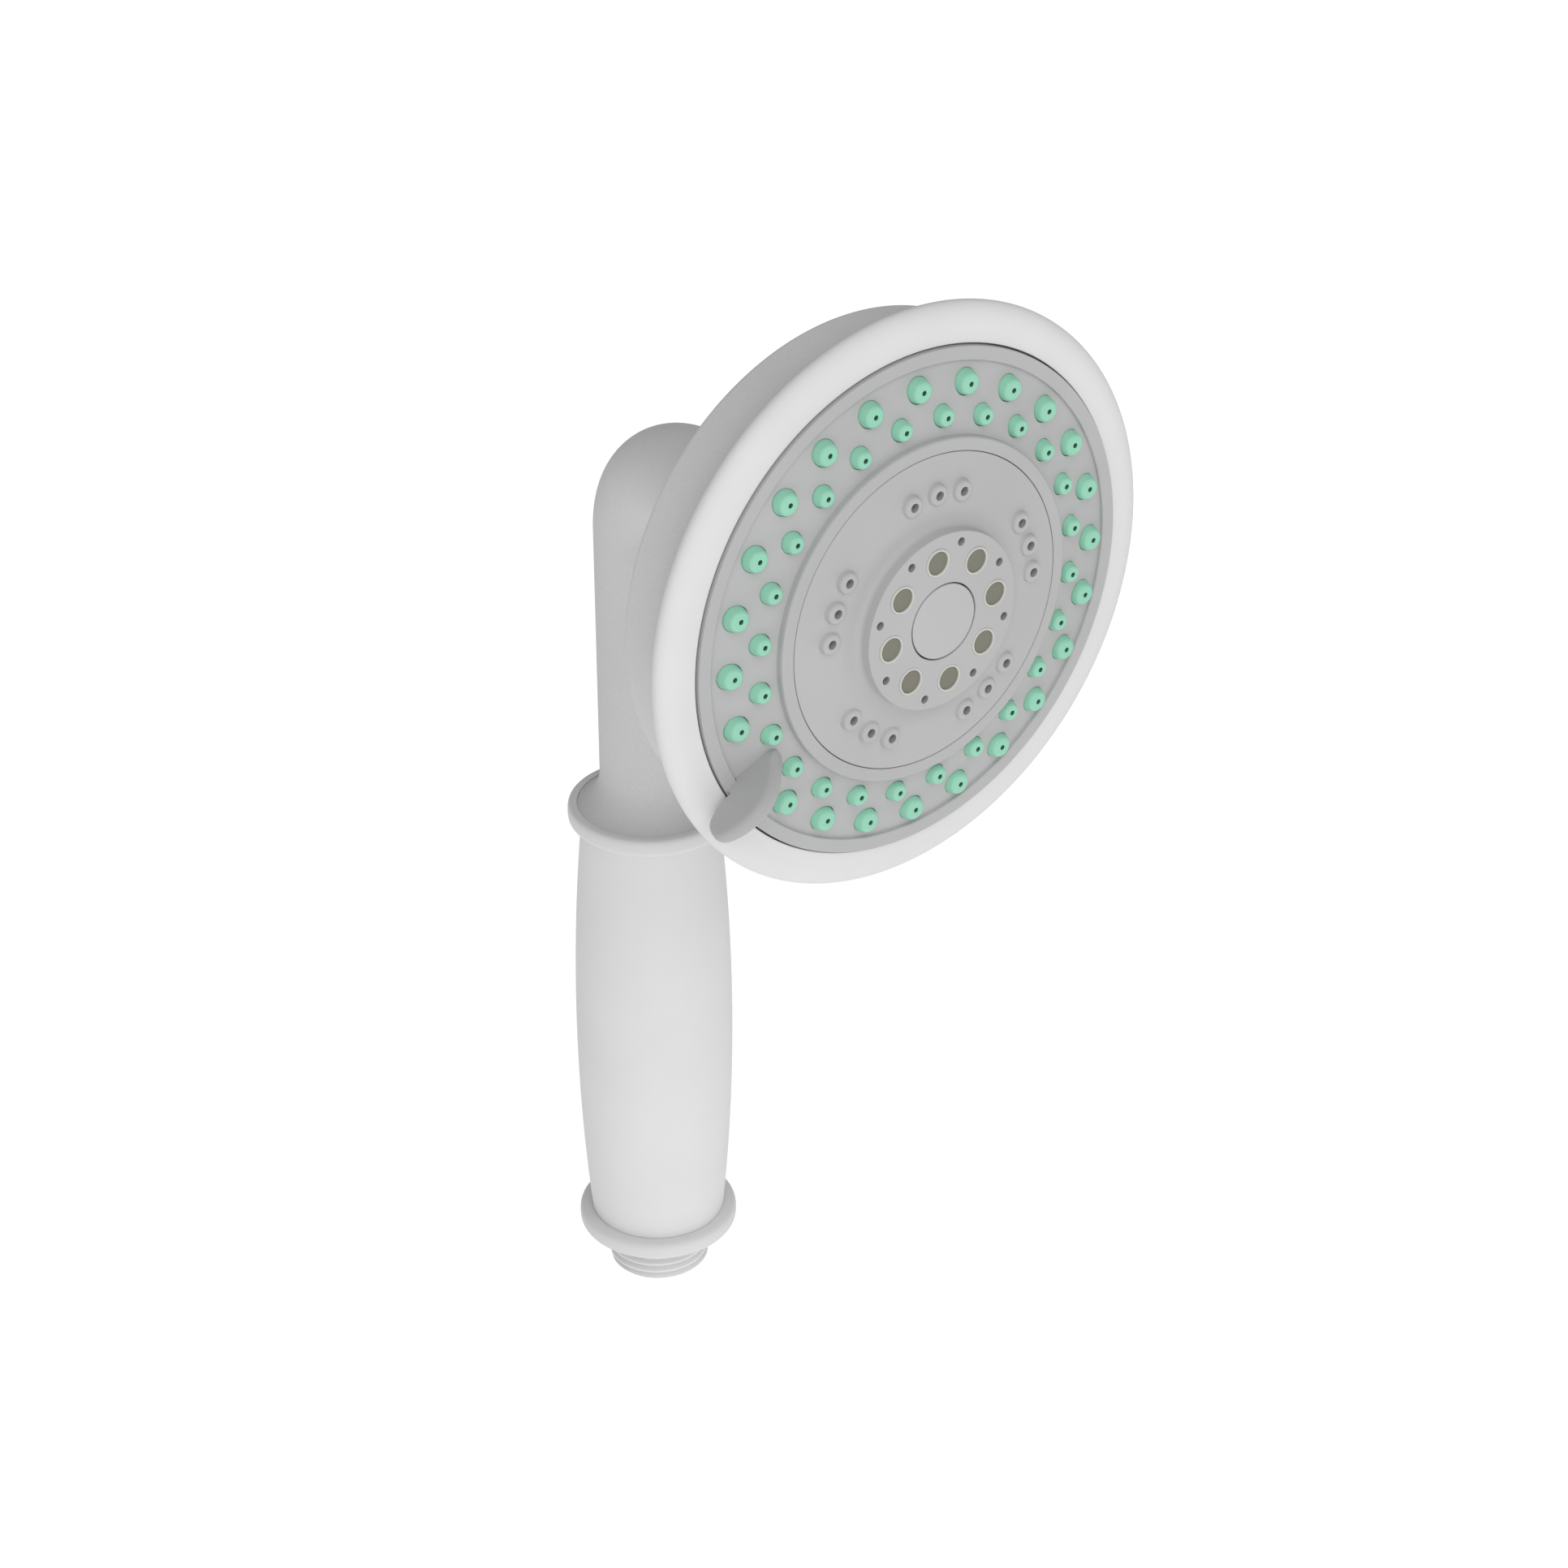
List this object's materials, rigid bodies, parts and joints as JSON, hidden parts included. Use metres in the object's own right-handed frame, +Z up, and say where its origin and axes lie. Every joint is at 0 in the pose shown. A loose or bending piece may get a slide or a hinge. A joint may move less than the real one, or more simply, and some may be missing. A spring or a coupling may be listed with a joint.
{
  "type": "handheld shower head",
  "caption": "Handheld shower head: round multi-function head with a turning dial, short elbow, and a barrel grip between two bead collars over a threaded inlet.",
  "frame": {"origin": "centre of the inlet's end face, on the handle's axis", "axes": "+Z up along the handle; the spray face looks along -Y; +X is to the right seen from the front of the face"},
  "size_m": [0.1114, 0.105, 0.2469],
  "materials": {
    "casing": "fine matt moulded grain",
    "bezel": "smooth satin",
    "grip": "smooth satin",
    "collar": "smooth satin",
    "neck": "fine cast grain",
    "inlet": "matt cut thread",
    "face": "satin grey",
    "spray_face": "satin grey",
    "lever": "satin grey",
    "cap": "satin grey",
    "soft_nozzle": "mint green silicone",
    "jet": "olive grey",
    "inner_plastic": "plain moulded",
    "pale_plastic": "plain moulded",
    "steel": "plain",
    "brass": "turned",
    "seal": "plain",
    "orange_plastic": "plain moulded"
  },
  "bodies": {
    "handset": {"rear_shell": "casing", "elbow_neck": "neck", "upper_collar": "collar", "grip_sleeve": "grip", "lower_collar": "collar", "inlet_connector": "inlet", "bezel_ring": "bezel", "manifold_plate": "inner_plastic", "manifold_o_ring": "seal", "manifold_screws": "steel", "port_seals": "seal", "retaining_screw": "steel", "thrust_washer": "steel", "detent_spring": "steel", "stub_nut": "brass", "stub_o_ring": "seal", "water_tube": "brass", "tube_o_rings": "seal", "valve_cage": "pale_plastic", "valve_spring": "steel", "flow_restrictor": "orange_plastic", "filter_ring": "seal", "filter_mesh": "steel"},
    "dial": {"face_plate": "face", "nozzle_mat": "soft_nozzle", "spray_disc": "spray_face", "jet_insert": "jet", "centre_cap": "cap", "selector_lever": "lever", "dial_back_plate": "inner_plastic", "dial_gasket": "seal", "dial_screws": "steel"},
    "turbine": {"turbine": "pale_plastic"},
    "detent_plunger": {"detent_plunger": "pale_plastic"},
    "valve_poppet": {"valve_poppet": "orange_plastic"}
  },
  "joints": [
    {"name": "dial_turn", "type": "hinge", "parent": "handset", "child": "dial", "pos_m": [0, -0.0813, 0.1912], "axis": [0, -1, 0], "range_deg": [0, 120]},
    {"name": "turbine_spin", "type": "hinge", "parent": "dial", "child": "turbine", "pos_m": [0, -0.0813, 0.1912], "axis": [0, -1, 0], "continuous": true},
    {"name": "detent_press", "type": "slide", "parent": "handset", "child": "detent_plunger", "axis": [0, -1, 0], "range_m": [0, 0.001], "stiffness_N_per_m": 400, "springref_m": 0.003},
    {"name": "valve_lift", "type": "slide", "parent": "handset", "child": "valve_poppet", "axis": [0, 0, 1], "range_m": [0, 0.0025], "stiffness_N_per_m": 60, "springref_m": -0.002, "deforming": ["valve_spring"]}
  ]
}
